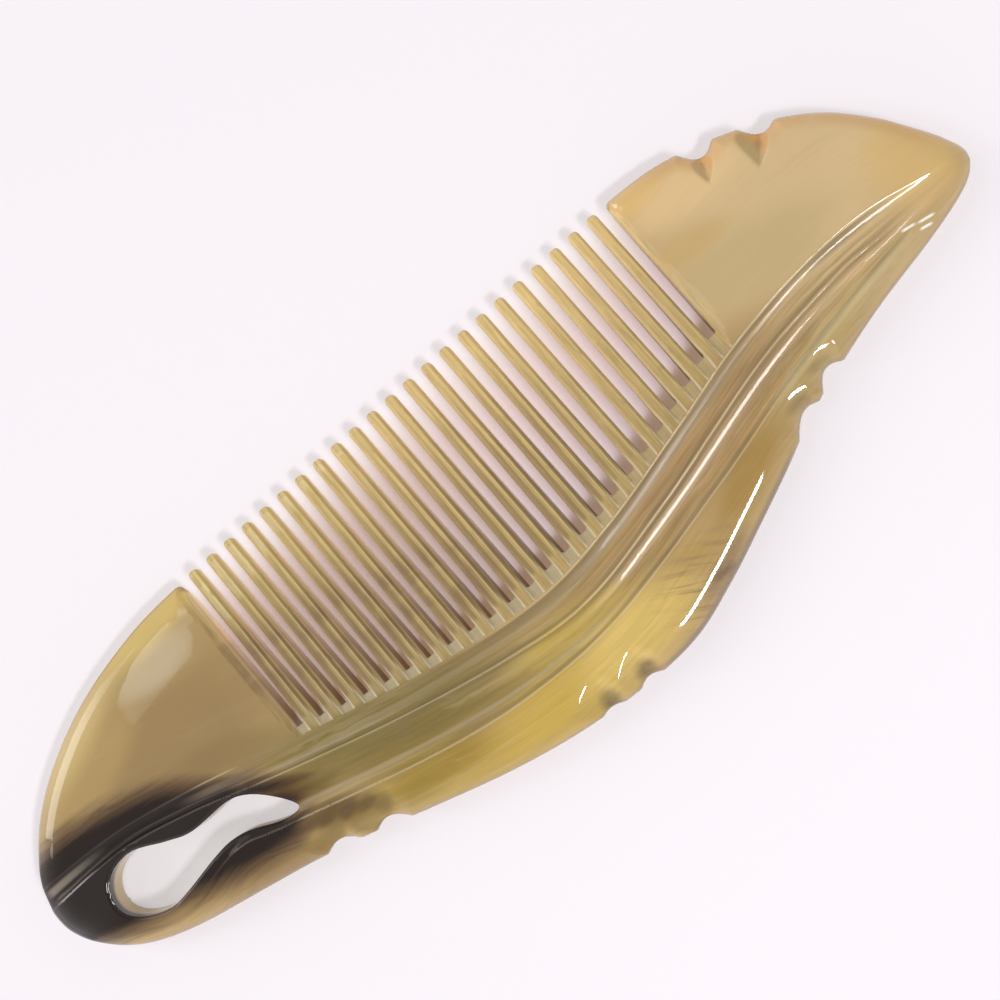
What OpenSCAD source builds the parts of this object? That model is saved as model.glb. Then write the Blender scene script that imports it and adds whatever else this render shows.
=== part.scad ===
// A comb carved from one flat plate of horn: a leaf-shaped body with a wave-shaped hole
// to hang it by, a spine with two long flutes, a row of teeth between two end panels, and
// four pairs of notches filed in the rim. In the plan x runs along the row of teeth
// towards the pointed end, y runs towards the tooth tips, and z is up. The underside
// mirrors the top face. The plan tables are in millimetres for a comb of the plan length,
// from the middle of the row, with the tooth tips at y = 25.

/* [Body] */
// Length of the comb over its two ends
comb_l = 165.5; // [150:0.5:180]
// Thickness of the plate at the spine
plate_t = 6; // [5:0.1:7]
// Width of the rounding along the rim
rim_w = 3.4; // [2.4:0.1:4]
// Thickness of the rim at its very edge
rim_t = 1.6; // [1.2:0.1:2.4]
// Depth of the filed notches, as a share of the depths in the table
notch_share = 1; // [0.4:0.1:1.2]

/* [Flutes] */
// Depth of the two flutes below their crests
flute_d = 0.6; // [0.2:0.05:0.8]

/* [Teeth] */
// Number of teeth in the row
teeth = 23; // [17:1:26]
// Width of each gap at its root
root_gap = 1.36; // [1.1:0.02:1.5]
// Width of each gap near the tips
tip_gap = 1.66; // [1.2:0.02:1.8]
// Thickness of the teeth at their tips
tip_t = 2; // [1.6:0.1:2.6]
// Thickness of the end panels beside the tooth tips
panel_t = 4.8; // [4.2:0.1:5]
// Height of the bevel along both edges of each tooth
bevel_h = 0.5; // [0.2:0.05:0.6]

/* [Hidden] */

horn = [0.72, 0.62, 0.36];
tip_y = 25;
row_l = 81.6;
half_t = plate_t / 2;

// Rim of the plate without its notches, from the corner of the left panel round the blunt
// end, along the back, round the pointed end and back to the corner of the right panel
rim = [ // [x, y]
    [-39.6, 24.8], [-47.9, 24.4], [-55.9, 23.0], [-62.4, 21.2], [-68.4, 18.7], [-74.2, 15.4],
    [-79.0, 11.5], [-82.7, 6.9], [-84.3, 3.3], [-84.8, 0.3], [-84.3, -2.8], [-82.3, -6.2],
    [-78.9, -9.5], [-74.4, -12.0], [-68.0, -14.0], [-58.4, -15.9], [-50.4, -17.5],
    [-41.6, -19.7], [-32.4, -22.5], [-20.1, -25.9], [-8.8, -28.0], [2.0, -28.8],
    [11.1, -28.2], [19.8, -25.4], [27.3, -22.3], [34.9, -19.0], [42.4, -15.5],
    [50.3, -12.8], [58.8, -10.4], [69.6, -8.1], [76.1, -6.3], [79.4, -4.6], [80.7, -2.2],
    [79.6, 1.2], [77.5, 5.0], [74.9, 9.1], [70.4, 14.3], [64.6, 18.4], [56.8, 21.9],
    [48.3, 24.3], [39.6, 25.0]
];
// Rows of that table at the two ends
blunt_end = 9;
pointed_end = 32;

// Notches filed in the rim, in pairs
notches = [ // [side, x, depth, half width]
    [-1, -45.3, 1.4, 2.4], [-1, -38.6, 1.2, 2.4],
    [-1, -4.2, 0.7, 2.2], [-1, 2.0, 1.0, 2.3],
    [-1, 41.6, 1.3, 2.4], [-1, 48.0, 1.2, 2.4],
    [1, 53.9, 1.9, 2.6], [1, 62.2, 1.7, 2.6]
];

// Depth and radius of the scoop that runs from each notch into the faces
scoop_d = 0.9;
scoop_r = 3.4;

// Crests between the flutes and the line of the tooth roots
crest_a = [ // [x, y]
    [-84, 4.6], [-70, 3.9], [-56, 1.2], [-40, -3.1], [-20, -7.9], [-2, -10.3], [12, -8.8],
    [27, -5.2], [40, -1.8], [53, 0.2], [64, 0.4], [74, -1.3], [80, -2]
];
crest_b = [ // [x, y]
    [-84, 1.4], [-70, 1.5], [-59, -0.9], [-46, -5.0], [-28, -10.0], [-11, -13.6], [3, -14.8],
    [20, -11.4], [42, -5.6], [57, -3.6], [66, -3.5], [80, -3]
];
crest_c = [ // [x, y]
    [-84, -5.6], [-76, -7.6], [-68, -10.6], [-57, -9.2], [-49.6, -11.1], [-27, -17.1],
    [-11, -19.6], [5, -19.2], [27, -14.5], [42, -10.6], [58, -7.3], [80, -4]
];
root_line = [ // [x, y]
    [-84, 6], [-56, 2.6], [-40, -1.7], [-22, -5.8], [-2, -8.2], [19, -5.4], [29, -2.4],
    [40, 1.5], [56, 3.5], [80, 0]
];

// Lower and upper edge of the hole, left to right
hole_low = [ // [x, y]
    [-76.0, -4.0], [-75.5, -6.0], [-73.5, -7.9], [-69.9, -9.3], [-66.5, -9.1], [-60.6, -8.0],
    [-57.2, -7.7], [-54.2, -8.3], [-50.8, -9.8], [-48.4, -10.5], [-46.6, -10.1]
];
hole_high = [ // [x, y]
    [-76.0, -4.0], [-75.4, -2.0], [-73.9, -0.4], [-71.6, 0.4], [-68.7, 0.2], [-64.4, -1.8],
    [-60.6, -3.1], [-54.4, -3.1], [-51.2, -4.3], [-48.4, -7.1], [-46.6, -10.1]
];
hole_x = [-75.9, -46.9];

// Columns of the two end panels, spaced closer where the rim turns
left_x = [
    -84.7, -84.3, -83.5, -82.4, -80.9, -79, -77.2, hole_x[0], -75.5, -74.6, -73.3, -71.8,
    -69.8, -67.6, -65.2, -62.8, -60.4, -58, -55.6, -53.2, -51, -49.2, -47.8, hole_x[1],
    -45.3, -43.8, -42.6
];
right_x = [
    42.9, 44.6, 46.8, 48, 49.3, 51.4, 52.7, 53.9, 55.2, 56.6, 59.6, 61, 62.2, 63.4, 65,
    67.6, 70.2, 72.8, 75.2, 77.2, 78.8, 79.9, 80.5
];
plan_l = right_x[len(right_x) - 1] - left_x[0];
plan_scale = comb_l / plan_l;

// Width of the bevel beside the first and last gap, at the roots and at the tips
panel_bevel = [1.0, 1.9];

function smooth(a, b, x) = let (s = min(max((x - a) / (b - a), 0), 1)) s * s * (3 - 2 * s);
function mix(a, b, s) = a + (b - a) * s;

// Smooth curve through a table of points, with the same steps between all neighbours
curve_steps = 8;
function between(p, q, r, s, u) =
    0.5 * (2 * q + (r - p) * u + (2 * p - 5 * q + 4 * r - s) * u * u
        + (3 * q - p - 3 * r + s) * u * u * u);
function curve(table) = let (last = len(table) - 1) [
    for (i = [0 : last - 1], k = [0 : curve_steps - 1]) between(
        table[max(i - 1, 0)], table[i], table[i + 1], table[min(i + 2, last)], k / curve_steps),
    table[last]
];
function part_of(table, first, last) = [for (i = [first : last]) table[i]];

rim_curve = curve(rim);
front_left = part_of(rim_curve, 0, blunt_end * curve_steps);
back = part_of(rim_curve, blunt_end * curve_steps, pointed_end * curve_steps);
front_right = part_of(rim_curve, pointed_end * curve_steps, len(rim_curve) - 1);
line_a = curve(crest_a);
line_b = curve(crest_b);
line_c = curve(crest_c);
line_root = curve(root_line);
line_low = curve(hole_low);
line_high = curve(hole_high);

function notch_cut(side, x) = notch_share * max([
    for (n = notches) n[0] == side && abs(x - n[1]) < n[3]
        ? n[2] * (1 + cos(180 * (x - n[1]) / n[3])) / 2 : 0
]);
function back_y(x) = lookup(x, back) + notch_cut(-1, x);
function front_y(x) = (x < 0 ? lookup(x, front_left) : lookup(x, front_right)) - notch_cut(1, x);

// Columns of the net: [x, kind], where kind is 0 on a panel, -1 and 1 on the left and right
// wall of a gap, 2 on the ridge of a tooth and 3 at the top of a panel's bevel
pitch = row_l / (teeth + 1);
function gap_x(k) = (k - teeth / 2) * pitch;
columns = concat(
    [for (x = left_x) [x, 0]],
    [[gap_x(0), 3]],
    [for (k = [0 : teeth]) each concat(
        [[gap_x(k), -1], [gap_x(k), 1]],
        k < teeth ? [[gap_x(k) + pitch / 2, 2]] : [])],
    [[gap_x(teeth), 3]],
    [for (x = right_x) [x, 0]]
);
column_count = len(columns);

// Rows of the net, from the back of the comb to the tooth tips
ROW_C = 4;
ROW_LOW = 5;
ROW_HIGH = 6;
ROW_B = 7;
ROW_A = 10;
ROW_ROOT = 11;
ROW_TIP = 17;

// Places of the rows: shares of the rim's rounding, distances from the tooth tips, shares of
// a flute's width, shares of the way from root to tip, and the least room between two rows
rim_steps = [0, 0.08, 0.35, 1.08];
nose_steps = [0, 0.3, 0.9, 2.4];
flute_steps = [0.3, 0.7];
tooth_steps = [0.25, 0.55];
row_gap = 0.3;

function is_row(kind) = abs(kind) == 1 || kind == 2;
function in_hole(x) = x > hole_x[0] - 0.01 && x < hole_x[1] + 0.01;
function row_x(x, kind) = abs(kind) == 1 ? x + kind * root_gap / 2
    : kind == 3 ? x + sign(x) * (root_gap / 2 + panel_bevel[0]) : x;
function raw_rows(centre, kind) = let (
    x = row_x(centre, kind),
    low = back_y(x),
    high = is_row(kind) ? tip_y : front_y(x),
    a = lookup(x, line_a),
    b = lookup(x, line_b),
    c = lookup(x, line_c),
    root = lookup(centre, line_root),
    ends = is_row(kind) ? nose_steps : rim_w * rim_steps,
    hole = in_hole(x)
) [
    low, low + rim_w * rim_steps[1], low + rim_w * rim_steps[2], low + rim_w * rim_steps[3], c,
    hole ? lookup(x, line_low) : mix(c, b, flute_steps[0]),
    hole ? lookup(x, line_high) : mix(c, b, flute_steps[1]),
    b, mix(b, a, flute_steps[0]), mix(b, a, flute_steps[1]), a,
    root, mix(root, high, tooth_steps[0]), mix(root, high, tooth_steps[1]),
    high - ends[3], high - ends[2], high - ends[1], high
];
// The same rows, kept apart where the plate is narrow
function spread(rows) = let (
    gap = min(row_gap, (rows[ROW_TIP] - rows[0]) / (ROW_TIP + 1)),
    up = [for (j = 0, y = rows[0]; j <= ROW_TIP;
        j = j + 1, y = j > ROW_TIP ? y : max(rows[j], y + gap)) y]
) [for (j = [0 : ROW_TIP]) min(up[j], rows[ROW_TIP] - (ROW_TIP - j) * gap)];
rows_at = [for (c = columns) spread(raw_rows(c[0], c[1]))];

// Each tooth's nose: its radius in the plan, half its flat end, the length over which it
// thins, and the share of the thickness left at its end
nose_r = 0.8;
nose_flat = 0.3;
nose_l = 1.4;
nose_share = 0.55;

// Half the width of a gap at y, which widens from its root and again round the noses
gap_taper = [-10, 20];
function gap_half(y) = let (
    straight = mix(root_gap, tip_gap, smooth(gap_taper[0], gap_taper[1], y)) / 2,
    nose = max(y - (tip_y - nose_r), 0) / nose_r
) straight + (pitch / 2 - straight - nose_flat) * (1 - sqrt(max(1 - nose * nose, 0)));
function bevel_out(y) = mix(panel_bevel[0], panel_bevel[1], smooth(0, tip_y, y));
function point_x(i, j) = let (x = columns[i][0], kind = columns[i][1], y = rows_at[i][j])
    abs(kind) == 1 ? x + kind * (j < ROW_A ? root_gap / 2 : gap_half(y))
    : kind == 3 ? x + sign(x) * (root_gap / 2 + bevel_out(y))
    : x;
plan = [for (i = [0 : column_count - 1]) [for (j = [0 : ROW_TIP]) [point_x(i, j), rows_at[i][j]]]];

// Distance from a point to the rim
edge = concat(
    [for (i = [len(left_x) : -1 : 0]) plan[i][ROW_TIP]],
    [for (i = [0 : column_count - 1]) plan[i][0]],
    [for (i = [column_count - 1 : -1 : column_count - len(right_x) - 1]) plan[i][ROW_TIP]]
);
function to_segment(p, a, b) = let (
    ab = b - a,
    u = min(max((p - a) * ab / (ab * ab), 0), 1)
) norm(p - a - u * ab);
function to_rim(p) = min([for (i = [0 : len(edge) - 2]) to_segment(p, edge[i], edge[i + 1])]);

// Half the thickness of the comb at a point of the net. The flutes fade out towards both
// ends, the teeth thin from the spine on, and the panels thin over their outer part.
upper_fade = [60, 74];
lower_fade_in = [-60, -50];
lower_fade_out = [50, 68];
taper_y = -10;
panel_taper_y = 6;
function rounding(d) = let (u = min(d / rim_w, 1)) mix(rim_t / plate_t, 1, sqrt(u * (2 - u)));
function scoop(p) = let (cuts = [
    for (n = notches) let (
        foot = [n[1], n[0] < 0 ? back_y(n[1]) : front_y(n[1])],
        r = norm(p - foot) / scoop_r
    ) r < 1 ? scoop_d * notch_share * (1 - r * r) : 0
]) max(cuts);
function flute(j, x) =
    j == ROW_LOW || j == ROW_HIGH ? flute_d
        * smooth(lower_fade_in[0], lower_fade_in[1], x)
        * (1 - smooth(lower_fade_out[0], lower_fade_out[1], x))
    : j == ROW_B + 1 || j == ROW_B + 2 ? flute_d * (1 - smooth(upper_fade[0], upper_fade[1], x))
    : 0;
function tooth_half(y) = mix(half_t, tip_t / 2, (y - taper_y) / (tip_y - taper_y));
function panel_half(y) = mix(half_t, panel_t / 2, smooth(panel_taper_y, tip_y, y));
function half_at(i, j) = let (
    p = plan[i][j],
    kind = columns[i][1],
    nose = smooth(0, nose_l, tip_y - p[1])
) j < ROW_ROOT ? (half_t - flute(j, p[0])) * rounding(to_rim(p)) - scoop(p)
    : is_row(kind) ? (tooth_half(p[1]) - (kind == 2 ? 0 : bevel_h)) * mix(nose_share, 1, nose)
    : panel_half(p[1]) * rounding(to_rim(p)) - scoop(p);

// The net as a closed solid: top points, bottom points, and a wall beside every open cell.
// The gaps and the hole are open cells.
middle = [(left_x[0] + right_x[len(right_x) - 1]) / 2, (tip_y + min([for (i = plan) i[0][1]])) / 2];
halves = [for (i = [0 : column_count - 1]) [for (j = [0 : ROW_TIP]) half_at(i, j)]];
function placed(p) = plan_scale * (p - middle);
top = [for (i = [0 : column_count - 1], j = [0 : ROW_TIP])
    let (p = placed(plan[i][j])) [p[0], p[1], half_t + halves[i][j]]];
bottom = [for (p = top) [p[0], p[1], plate_t - p[2]]];
function open_cell(i, j) = i < 0 || j < 0 || i >= column_count - 1 || j >= ROW_TIP
    || (columns[i][1] == -1 && columns[i + 1][1] == 1 && j >= ROW_ROOT)
    || (j == ROW_LOW && in_hole(columns[i][0]) && in_hole(columns[i + 1][0]));
function at(i, j) = i * (ROW_TIP + 1) + j;
function wall_between(a, b) = [[a, b, b + len(top)], [a, b + len(top), a + len(top)]];
faces = [for (i = [0 : column_count - 2], j = [0 : ROW_TIP - 1]) if (!open_cell(i, j)) each let (
    a = at(i, j),
    b = at(i + 1, j),
    c = at(i + 1, j + 1),
    d = at(i, j + 1),
    under = len(top)
) concat(
    [[a, c, b], [a, d, c], [a + under, b + under, c + under], [a + under, c + under, d + under]],
    open_cell(i, j - 1) ? wall_between(a, b) : [],
    open_cell(i + 1, j) ? wall_between(b, c) : [],
    open_cell(i, j + 1) ? wall_between(c, d) : [],
    open_cell(i - 1, j) ? wall_between(d, a) : []
)];

module comb() {
    color(horn)
        polyhedron(points = concat(top, bottom), faces = faces, convexity = 30);
}

comb();
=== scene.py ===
import math

import bpy
import numpy as np
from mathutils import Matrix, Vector
from mathutils.geometry import delaunay_2d_cdt
from mathutils.kdtree import KDTree


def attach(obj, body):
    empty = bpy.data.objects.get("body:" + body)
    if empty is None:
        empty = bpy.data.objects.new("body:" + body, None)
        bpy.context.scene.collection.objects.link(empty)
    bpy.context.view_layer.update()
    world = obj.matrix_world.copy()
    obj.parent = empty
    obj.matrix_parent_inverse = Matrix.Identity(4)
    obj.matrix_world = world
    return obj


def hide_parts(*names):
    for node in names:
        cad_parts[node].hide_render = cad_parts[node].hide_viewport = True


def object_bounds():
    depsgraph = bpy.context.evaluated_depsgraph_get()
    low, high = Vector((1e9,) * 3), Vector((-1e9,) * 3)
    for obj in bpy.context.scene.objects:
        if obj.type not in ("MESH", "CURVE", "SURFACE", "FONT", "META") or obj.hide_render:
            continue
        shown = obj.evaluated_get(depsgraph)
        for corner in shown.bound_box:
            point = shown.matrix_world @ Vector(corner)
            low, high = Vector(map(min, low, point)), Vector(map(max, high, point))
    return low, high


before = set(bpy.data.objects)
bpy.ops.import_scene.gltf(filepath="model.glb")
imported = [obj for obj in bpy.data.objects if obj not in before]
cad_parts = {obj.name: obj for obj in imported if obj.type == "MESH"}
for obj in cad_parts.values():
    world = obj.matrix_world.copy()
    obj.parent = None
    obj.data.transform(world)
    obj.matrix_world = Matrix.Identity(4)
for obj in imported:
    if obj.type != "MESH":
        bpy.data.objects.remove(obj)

cad_low, cad_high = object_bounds()


# The view. The comb lies flat on a pale table and is seen from nearly straight above,
# 23 cm up, with its row of teeth running up to the right.
camera = bpy.data.cameras.new("view")
camera.sensor_width = 36
camera.lens = 59.04
camera.clip_start = 0.01
eye = bpy.data.objects.new("eye", camera)
eye.location = (0.02498, -0.01645, 0.22905)
eye.rotation_euler = [math.radians(turn) for turn in (0.840, 7.521, -40.879)]
bpy.context.scene.collection.objects.link(eye)
bpy.context.scene.camera = eye


# The plate. The comb is sawn from one flat plate of horn, leaf-shaped, with a blunt end at
# the left and a pointed end at the right, and its rim is rounded by file and polished.
# Plan tables are in millimetres: x along the teeth, y towards the tips, tips at y = 25.
rim = [  # x, y
    [-39.6, 24.8], [-47.9, 24.4], [-55.9, 23.0], [-62.4, 21.2], [-68.4, 18.7], [-74.2, 15.4],
    [-79.0, 11.5], [-82.7, 6.9], [-84.3, 3.3], [-84.8, 0.3], [-84.3, -2.8], [-82.3, -6.2],
    [-78.9, -9.5], [-74.4, -12.0], [-68.0, -14.0], [-58.4, -15.9], [-50.4, -17.5],
    [-41.6, -19.7], [-32.4, -22.5], [-20.1, -25.9], [-8.8, -28.0], [2.0, -28.8],
    [11.1, -28.2], [19.8, -25.4], [27.3, -22.3], [34.9, -19.0], [42.4, -15.5],
    [50.3, -12.8], [58.8, -10.4], [69.6, -8.1], [76.1, -6.3], [79.4, -4.6], [80.7, -2.2],
    [79.6, 1.2], [77.5, 5.0], [74.9, 9.1], [70.4, 14.3], [64.6, 18.4], [56.8, 21.9],
    [48.3, 24.3], [39.6, 25.0],
]
blunt_end, pointed_end = 9, 32  # rows of the table
half_plate = 3.0
tip_y = 25.0
plan_middle_x = -2.1
plan_length = 165.2
mm = 1000
plan_scale = (cad_high.x - cad_low.x) * mm / plan_length
stretch_points = 24


def smooth_line(table, closed=False):
    """A smooth curve through the points of a table, as a line of many points."""
    p = np.array(table, float)
    if closed:
        before, here, after, beyond = (np.roll(p, k, axis=0) for k in (1, 0, -1, -2))
    else:
        last = len(p) - 1
        here, after = p[:-1], p[1:]
        before = p[np.maximum(np.arange(last) - 1, 0)]
        beyond = p[np.minimum(np.arange(last) + 2, last)]
    u = (np.arange(stretch_points) / stretch_points)[None, :, None]
    b, q, r, s = (part[:, None, :] for part in (before, here, after, beyond))
    line = 0.5 * (2 * q + (r - b) * u + (2 * b - 5 * q + 4 * r - s) * u ** 2
                  + (3 * q - b - 3 * r + s) * u ** 3)
    line = line.reshape(-1, 2)
    return line if closed else np.vstack([line, p[-1:]])


rim_line = smooth_line(rim)
blunt_at, pointed_at = blunt_end * stretch_points, pointed_end * stretch_points
front_left = rim_line[: blunt_at + 1][::-1]
back = rim_line[blunt_at: pointed_at + 1]
front_right = rim_line[pointed_at:][::-1]


# The notches. Four pairs of notches are filed into the rim, each a slanting stroke that
# cuts the rim and runs out as a scoop in both faces. The two on the front are V-shaped,
# with crisp flanks, and those on the back are rounder.
notches = [  # side, x, depth, reach left and right, lean, rise, left and right flank, round, edge
    [-1, -45.4, 1.2, 2.9, 2.5, 0.45, 0.45, 0.60, 0.70, 1.0, 0.9],
    [-1, -38.0, 1.3, 2.7, 2.6, 0.36, 0.45, 0.40, 0.62, 0.8, 0.9],
    [-1, -4.3, 0.5, 1.9, 1.9, 0.09, 0.43, 0.35, 0.50, 1.0, 0.9],
    [-1, 2.3, 0.75, 1.95, 2.1, 0.12, 0.46, 0.45, 0.50, 1.0, 0.9],
    [-1, 41.5, 1.25, 2.9, 2.7, 0.1, 0.75, 0.60, 0.60, 1.6, 1.7],
    [-1, 47.5, 1.55, 2.2, 2.8, 0.1, 0.75, 0.60, 0.60, 1.6, 1.7],
    [1, 53.9, 1.9, 2.1, 2.9, 0.07, 0.42, 0.65, 0.70, 0.2, 0.8],
    [1, 62.1, 1.65, 1.9, 2.7, 0.25, 0.37, 0.33, 1.05, 0.2, 0.8],
]
notch_power = 1.2
stroke_reach, stroke_end = 5.4, 8
stroke_fade = 0.5
stroke_floor = 0.25
stroke_ease = 0.12, 0.2


def notch_cut(side, x):
    """How far the notches of one side cut into the rim at x."""
    cut = np.zeros_like(x)
    for of_side, at_x, depth, left, right, *_ in notches:
        if of_side == side:
            off = x - at_x
            off = np.clip(off / np.where(off < 0, left, right), -1, 1)
            cut = np.maximum(cut, depth * (1 - off ** 2) ** notch_power)
    return cut


def rim_y(side, x):
    """The rim at x with its notches, on the back (side -1) or the front (side 1)."""
    if side < 0:
        return np.interp(x, back[:, 0], back[:, 1]) + notch_cut(-1, x)
    left = np.interp(x, front_left[:, 0], front_left[:, 1])
    right = np.interp(x, front_right[:, 0], front_right[:, 1])
    return np.where(x < 0, left, right) - notch_cut(1, x)


def mix(a, b, share):
    return a + (b - a) * share


def softer_min(a, b, reach):
    """The lesser of two depths, with their crease rounded over the reach."""
    h = np.clip(0.5 + 0.5 * (b - a) / reach, 0, 1)
    return mix(b, a, h) - reach * h * (1 - h)


def scooped(p, half):
    """Half thickness after the notch strokes, which rise from the rim into the face."""
    for side, at_x, _, _, _, lean, rise, left, right, bend, edge in notches:
        foot = np.array([at_x, float(rim_y(side, np.array(at_x)))])
        slope = float(rim_y(side, np.array(at_x + 5)) - rim_y(side, np.array(at_x - 5))) / 10
        heading = math.atan2(-side, 0) + math.atan(slope) - lean
        ahead = np.array([math.cos(heading), math.sin(heading)])
        across = np.array([ahead[1], -ahead[0]]) * -side
        away = (p - foot) @ ahead
        aside = (p - foot) @ across
        aside = np.where(aside < 0, -left * aside, right * aside)
        valley = np.sqrt(aside ** 2 + (bend * rise) ** 2) - bend * rise
        cut = edge + rise * np.maximum(away, -1) + valley
        apart = np.linalg.norm(p - foot, axis=1)
        cut = cut + stroke_fade * np.maximum(apart - stroke_reach, 0) ** 2
        crease = stroke_ease[0] + stroke_ease[1] * bend
        softened = softer_min(half, np.maximum(cut, stroke_floor), crease)
        half = np.where(apart < stroke_end, softened, half)
    return half


# The teeth. Twenty-three teeth are sawn side by side, with a wheel that leaves a square
# slot end and runs out as a shallow trough up to the spine. The plate thins towards the
# tips, each tooth is bevelled along both edges, and its nose is rounded.
teeth = 23
pitch = 3.4
root_gap, tip_gap = 1.36, 1.66
nose_r, nose_flat = 0.85, 0.16
tip_half = 1.0
panel_half = 2.4
bevel = 0.42
land = 0.55
slot_corner = 0.3
edge_r = 0.12
panel_corner = 0.9
trough_half = 0.95
trough_opens, trough_sinks = 5.5, 0.9
left_bevel = 1.1
right_bevel = 1.7, 0.5
nose_length, nose_share = 1.2, 0.45
roots = [  # x, y
    [-39.1, -1.8], [-28.9, -4.5], [-18.9, -6.45], [-8.5, -7.9], [-1.6, -8.15], [4.9, -7.75],
    [12, -7.0], [18.8, -5.4], [25.6, -3.6], [32.3, -1.4], [35.8, -0.2], [39.2, 1.35],
]
crest_a = smooth_line([  # x, y
    [-84, 4.6], [-70, 3.9], [-56, 1.2], [-40, -3.1], [-20, -7.9], [-2, -10.3], [12, -8.8],
    [27, -5.2], [40, -1.8], [53, 0.2], [64, 0.4], [74, -1.3], [80, -2],
])
slot_x = (np.arange(teeth + 1) - teeth / 2) * pitch
slot_y = np.interp(slot_x, *np.array(roots).T)


def smooth(a, b, v):
    """0 before a, 1 past b, with a smooth way between them."""
    s = np.clip((v - a) / (b - a), 0, 1)
    return s * s * (3 - 2 * s)


def on(line, x):
    """Height of a line at x."""
    return np.interp(x, line[:, 0], line[:, 1])


def gap_half(y):
    """Half width of a gap at a height, a little more towards the tips."""
    return mix(root_gap, tip_gap, smooth(-10, 20, y)) / 2


def slot_rows(low, high=tip_y - nose_r):
    """Heights at which the saw lines get points: close at the roots, wider above."""
    fine = np.arange(-12, 24, 1 / 3)
    fine = fine[(fine > low + slot_corner + 0.1) & (fine < low + 5)]
    coarse = np.arange(-12, high - 0.3)
    return np.r_[low + slot_corner, fine, coarse[coarse > low + 5.1], high]


def wall(k, side, on_tooth):
    """One wall of slot k from its root upwards, round the tooth's nose where there is one."""
    y = slot_rows(slot_y[k], tip_y - (nose_r if on_tooth else panel_corner))
    turn = np.radians([0, 30, 60])
    end = np.c_[gap_half(slot_y[k]) - slot_corner * (1 - np.sin(turn)),
                slot_y[k] + slot_corner * (1 - np.cos(turn))]
    line = np.vstack([end, np.c_[gap_half(y), y]])
    if on_tooth:
        turn = np.radians([18, 36, 54, 72, 90])
        y = tip_y - nose_r * (1 - np.sin(turn))
        half_tooth = pitch / 2 - gap_half(y)
        line = np.vstack([line, np.c_[
            pitch / 2 - nose_flat - (half_tooth - nose_flat) * np.cos(turn), y]])
    return line * [side, 1] + [slot_x[k], 0]


def corner(line, x_wall):
    """The rim as far as a panel's corner, which is rounded down to the wall of the slot."""
    side = np.sign(x_wall)
    line = line[np.abs(line[:, 0]) > abs(x_wall) + panel_corner]
    top = on(line[np.argsort(line[:, 0])], x_wall + side * panel_corner)
    turn = np.radians(np.arange(0, 91, 15))
    arc = np.c_[x_wall + side * panel_corner * (1 - np.cos(turn)),
                top - panel_corner * (1 - np.sin(turn))]
    return line, arc


def spaced(line, step):
    """The same line with its points an even step apart."""
    run = np.r_[0, np.cumsum(np.linalg.norm(np.diff(line, axis=0), axis=1))]
    stops = np.linspace(0, run[-1], max(int(round(run[-1] / step)), 1) + 1)
    return np.c_[np.interp(stops, run, line[:, 0]), np.interp(stops, run, line[:, 1])]


rim_step = 0.38
corner_wall = slot_x[-1] + gap_half(tip_y)
left_rim, left_arc = corner(rim_line[: blunt_at + 1], -corner_wall)
right_rim, right_arc = corner(rim_line[pointed_at:], corner_wall)
full_rim = np.vstack([left_arc, left_rim, back[1:-1], right_rim, right_arc[::-1]])
full_rim = spaced(full_rim, rim_step)
far = int(np.argmin(full_rim[:, 0])), int(np.argmax(full_rim[:, 0]))
order = np.arange(len(full_rim))
is_back = (order > far[0]) & (order < far[1])
full_rim[:, 1] += np.where(is_back, notch_cut(-1, full_rim[:, 0]), -notch_cut(1, full_rim[:, 0]))

comb_edge = []
for k in range(teeth, -1, -1):
    comb_edge.append(wall(k, 1, k < teeth)[::-1])
    comb_edge.append(wall(k, -1, k > 0))
comb_edge = np.vstack(comb_edge)


def toothed(p, half):
    """Half thickness in the row: a wedge from the spine to the tips, with the wheel's
    grooves along every gap, which bevel the teeth and run out at the spine."""
    x, y = p.T
    foot = on(crest_a, x)
    panel = mix(half, panel_half, smooth(6, tip_y, y))
    row = mix(half, tip_half, np.clip((y - foot) / (tip_y - foot), 0, 1))
    in_row = smooth(-39.8, -38.4, x) * (1 - smooth(38.4, 39.8, x))
    made = np.where(y > foot, mix(panel, row, in_row), half)
    k = np.clip(np.rint(x / pitch + teeth / 2), 0, teeth).astype(int)
    aside = x - slot_x[k]
    gap = gap_half(y)
    run_out = on(crest_a, slot_x[k]) + 0.1
    opening = np.clip((y - run_out) / trough_opens, 0, 1)
    reach = mix(trough_half, pitch / 2 - land, opening)
    left_panel, right_panel = (k == 0) & (aside < 0), (k == teeth) & (aside > 0)
    reach = np.where(left_panel, mix(trough_half, gap + left_bevel, opening), reach)
    right_reach = gap + mix(*right_bevel, smooth(5, 22, y))
    reach = np.where(right_panel, mix(trough_half, right_reach, opening), reach)
    flank = np.clip((reach - np.abs(aside)) / (reach - gap + 0.02), 0, 1)
    floor = np.clip((y - run_out) / trough_sinks, 0, 1)
    cut = bevel * flank * floor
    nose = np.clip((tip_y - y) / nose_length, 0, 1)
    round_nose = mix(nose_share, 1, np.sqrt(nose * (2 - nose)))
    beside, below = np.maximum(np.abs(aside) - gap, 0), np.maximum(slot_y[k] - y, 0)
    to_wall = np.clip(np.hypot(beside, below) / edge_r, 0, 1)
    eased = edge_r * (1 - np.sqrt(1 - (1 - to_wall) ** 2))
    in_band = (np.abs(x) < 42) & (y > foot - 0.5)
    made = np.where(in_band, made - cut - eased, made)
    return np.where(np.abs(x) < corner_wall - 0.01, made * round_nose, made), cut * in_band


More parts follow.
